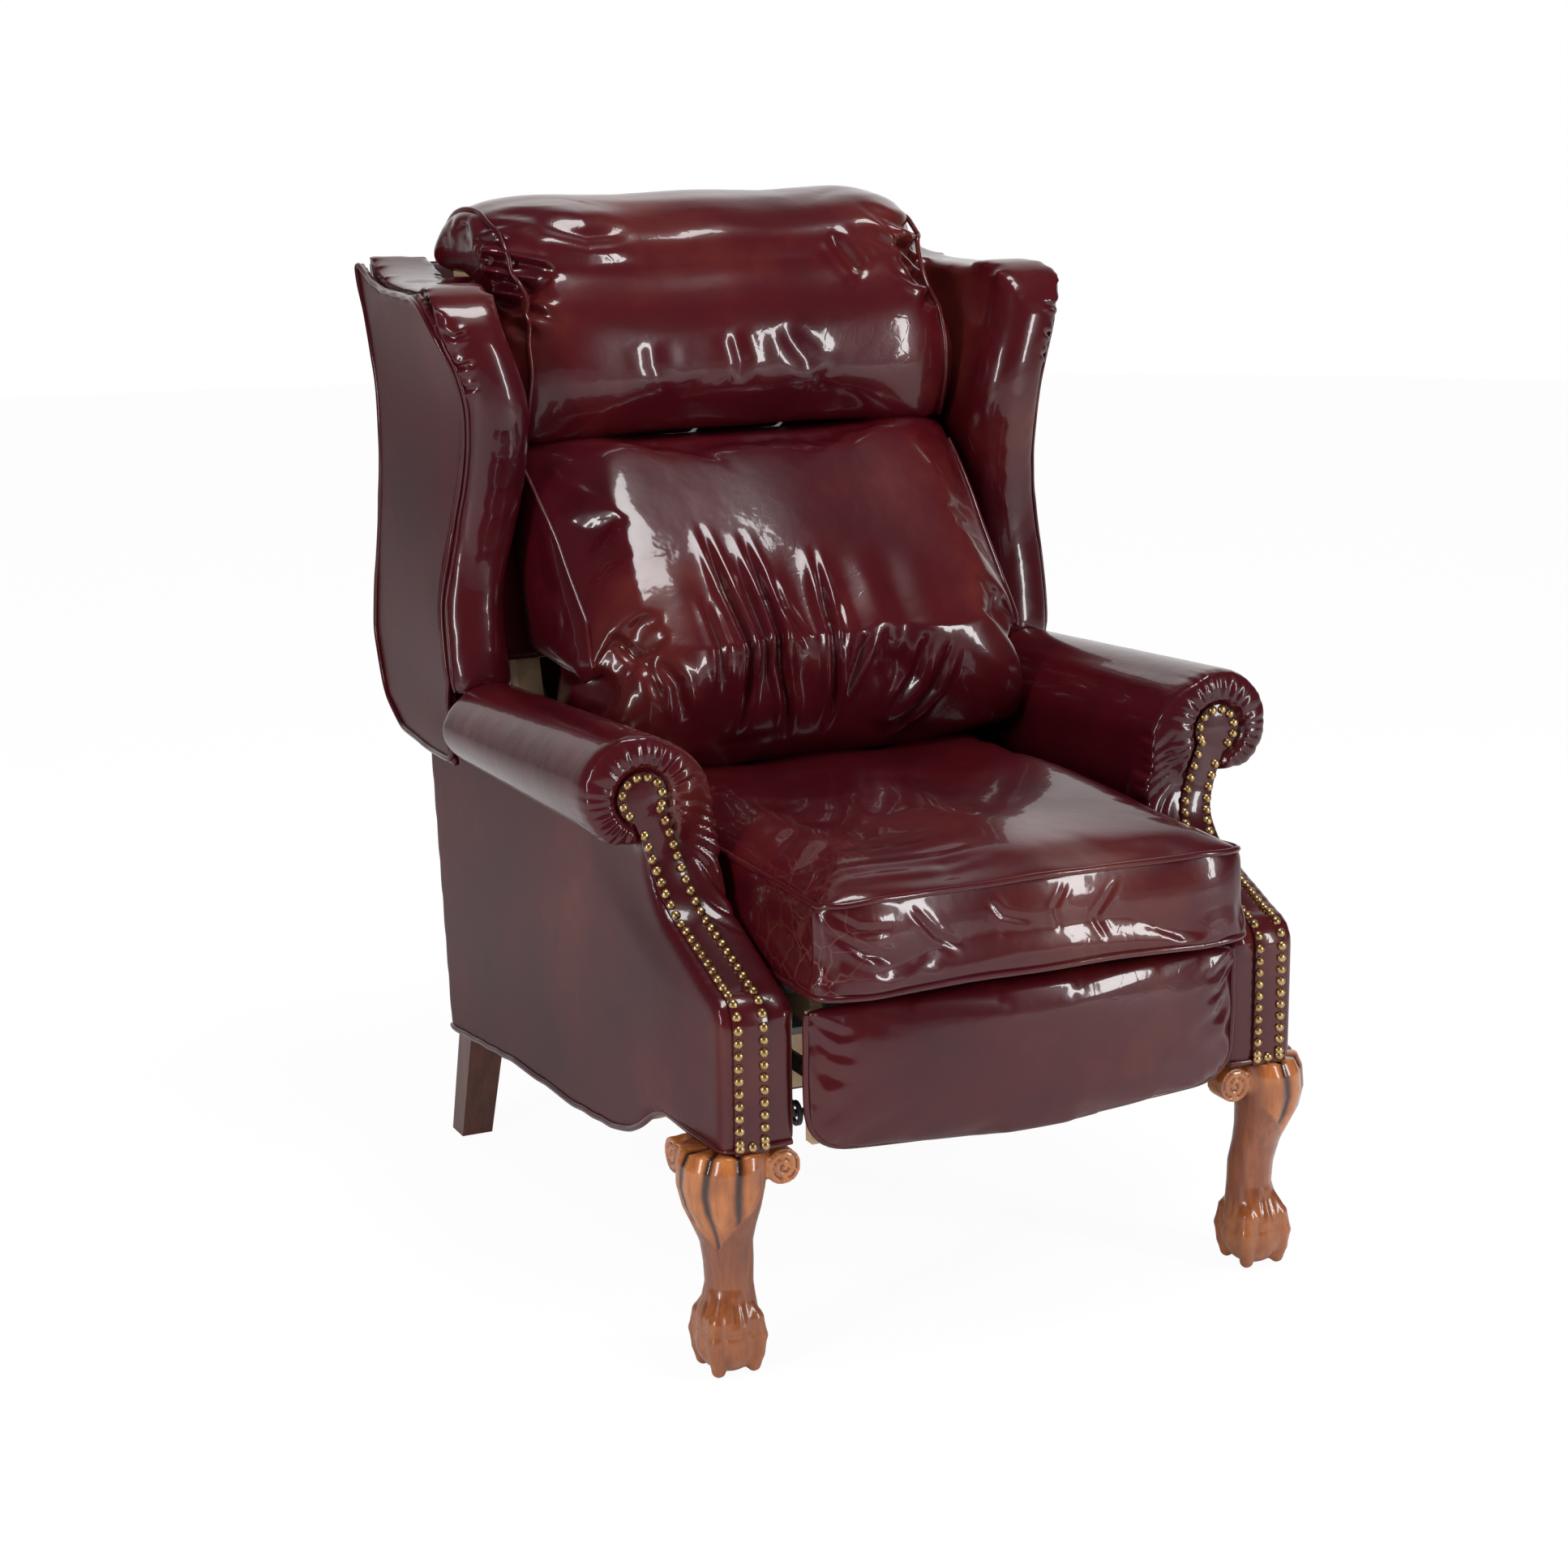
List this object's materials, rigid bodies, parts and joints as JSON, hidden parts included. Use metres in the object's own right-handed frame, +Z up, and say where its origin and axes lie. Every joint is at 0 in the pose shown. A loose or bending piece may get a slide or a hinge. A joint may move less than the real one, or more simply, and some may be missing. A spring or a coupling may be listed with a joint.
{
  "type": "wingback recliner",
  "caption": "High-leg wing recliner with rolled arms, nailed stumps, loose seat cushion, reclining winged back and a linked fold-out footrest",
  "frame": {"origin": "floor under the middle of the chair's outer box", "axes": "+Z up, the front of the chair faces -Y, +X to the sitter's left hand"},
  "size_m": [0.8, 0.9978, 1.1205],
  "materials": {
    "oxblood_leather": "glossy glazed",
    "hardwood": "planed",
    "carved_wood": "honey to red brown polish",
    "dark_wood": "dark mahogany polish",
    "antique_brass": "antique",
    "mechanism_steel": "black satin",
    "spring_steel": "bare",
    "cloth": "black cambric"
  },
  "bodies": {
    "base": {"side_boards": "hardwood", "outside_arm_panel_left": "oxblood_leather", "outside_arm_panel_right": "oxblood_leather", "side_welts": "oxblood_leather", "stump_blocks": "hardwood", "stump_facing_left": "oxblood_leather", "stump_facing_right": "oxblood_leather", "nail_strip_left": "oxblood_leather", "nail_strip_right": "oxblood_leather", "nailheads_left": "antique_brass", "nailheads_right": "antique_brass", "arm_roll_left": "oxblood_leather", "arm_roll_right": "oxblood_leather", "arm_boards": "hardwood", "inside_arm_pad_left": "oxblood_leather", "inside_arm_pad_right": "oxblood_leather", "front_stretcher": "hardwood", "rear_rail": "hardwood", "corner_blocks": "hardwood", "dust_cover": "cloth", "rear_base_panel": "oxblood_leather", "front_leg_left": "carved_wood", "front_leg_right": "carved_wood", "rear_leg_left": "dark_wood", "rear_leg_right": "dark_wood", "mechanism_rails": "mechanism_steel", "cross_tubes": "mechanism_steel", "base_pins": "spring_steel"},
    "front_swing": {"front_swing_links": "mechanism_steel"},
    "rear_swing": {"rear_swing_links": "mechanism_steel"},
    "seat": {"seat_plates": "mechanism_steel", "seat_pins": "spring_steel", "seat_rails": "hardwood", "seat_springs": "spring_steel", "seat_deck": "cloth", "seat_hangers": "mechanism_steel", "seat_cushion": "oxblood_leather"},
    "drive": {"drive_links": "mechanism_steel", "torque_tube": "mechanism_steel", "knee_pins": "spring_steel"},
    "guide": {"guide_links": "mechanism_steel", "guide_link_pins": "spring_steel"},
    "long_arm": {"long_links": "mechanism_steel"},
    "short_arm": {"short_links": "mechanism_steel"},
    "footrest": {"footrest_board": "hardwood", "footrest_brackets": "mechanism_steel", "footrest_pad": "oxblood_leather", "footrest_pins": "spring_steel"},
    "back": {"back_posts": "hardwood", "back_rails": "hardwood", "back_springs": "spring_steel", "back_brackets": "mechanism_steel", "lumbar_pad": "oxblood_leather", "headrest_roll": "oxblood_leather", "outside_wing_panel_left": "oxblood_leather", "outside_wing_panel_right": "oxblood_leather", "wing_boards": "hardwood", "wing_pad_left": "oxblood_leather", "wing_pad_right": "oxblood_leather", "outside_back_panel": "oxblood_leather"}
  },
  "joints": [
    {"name": "front_swing_foot", "type": "hinge", "parent": "base", "child": "front_swing", "pos_m": [0, -0.185, 0.264], "axis": [1, 0, 0], "range_deg": [0, 40]},
    {"name": "rear_swing_foot", "type": "hinge", "parent": "base", "child": "rear_swing", "pos_m": [0, 0.065, 0.264], "axis": [1, 0, 0], "range_deg": [0, 40]},
    {"name": "seat_on_swing", "type": "hinge", "parent": "rear_swing", "child": "seat", "pos_m": [0, 0.08826, 0.3279], "axis": [1, 0, 0], "range_deg": [-40, 0]},
    {"name": "recline", "type": "hinge", "parent": "seat", "child": "back", "pos_m": [0, 0.1, 0.36], "axis": [-1, 0, 0], "range_deg": [0, 25]},
    {"name": "footrest_open", "type": "hinge", "parent": "seat", "child": "drive", "pos_m": [0, -0.326, 0.361], "axis": [-1, 0, 0], "range_deg": [0, 150]},
    {"name": "guide_turn", "type": "hinge", "parent": "seat", "child": "guide", "pos_m": [0, -0.372, 0.361], "axis": [-1, 0, 0], "range_deg": [0, 150]},
    {"name": "knee", "type": "hinge", "parent": "drive", "child": "long_arm", "pos_m": [0, -0.16729, 0.30008], "axis": [-1, 0, 0], "range_deg": [-150, 0]},
    {"name": "lower_knee", "type": "hinge", "parent": "guide", "child": "short_arm", "pos_m": [0, -0.20489, 0.27728], "axis": [-1, 0, 0], "range_deg": [-144.7, 0]},
    {"name": "footrest_tilt", "type": "hinge", "parent": "long_arm", "child": "footrest", "pos_m": [0, -0.415, 0.302], "axis": [-1, 0, 0], "range_deg": [0, 98]}
  ],
  "couplings": [
    {"joint": "front_swing_foot", "follows": "recline", "ratio": 1.6},
    {"joint": "rear_swing_foot", "follows": "recline", "ratio": 1.6},
    {"joint": "seat_on_swing", "follows": "recline", "ratio": -1.6},
    {"joint": "guide_turn", "follows": "footrest_open", "ratio": 1},
    {"joint": "knee", "follows": "footrest_open", "ratio": -1},
    {"joint": "lower_knee", "follows": "footrest_open", "ratio": -0.96467},
    {"joint": "footrest_tilt", "follows": "footrest_open", "ratio": 0.65333}
  ]
}
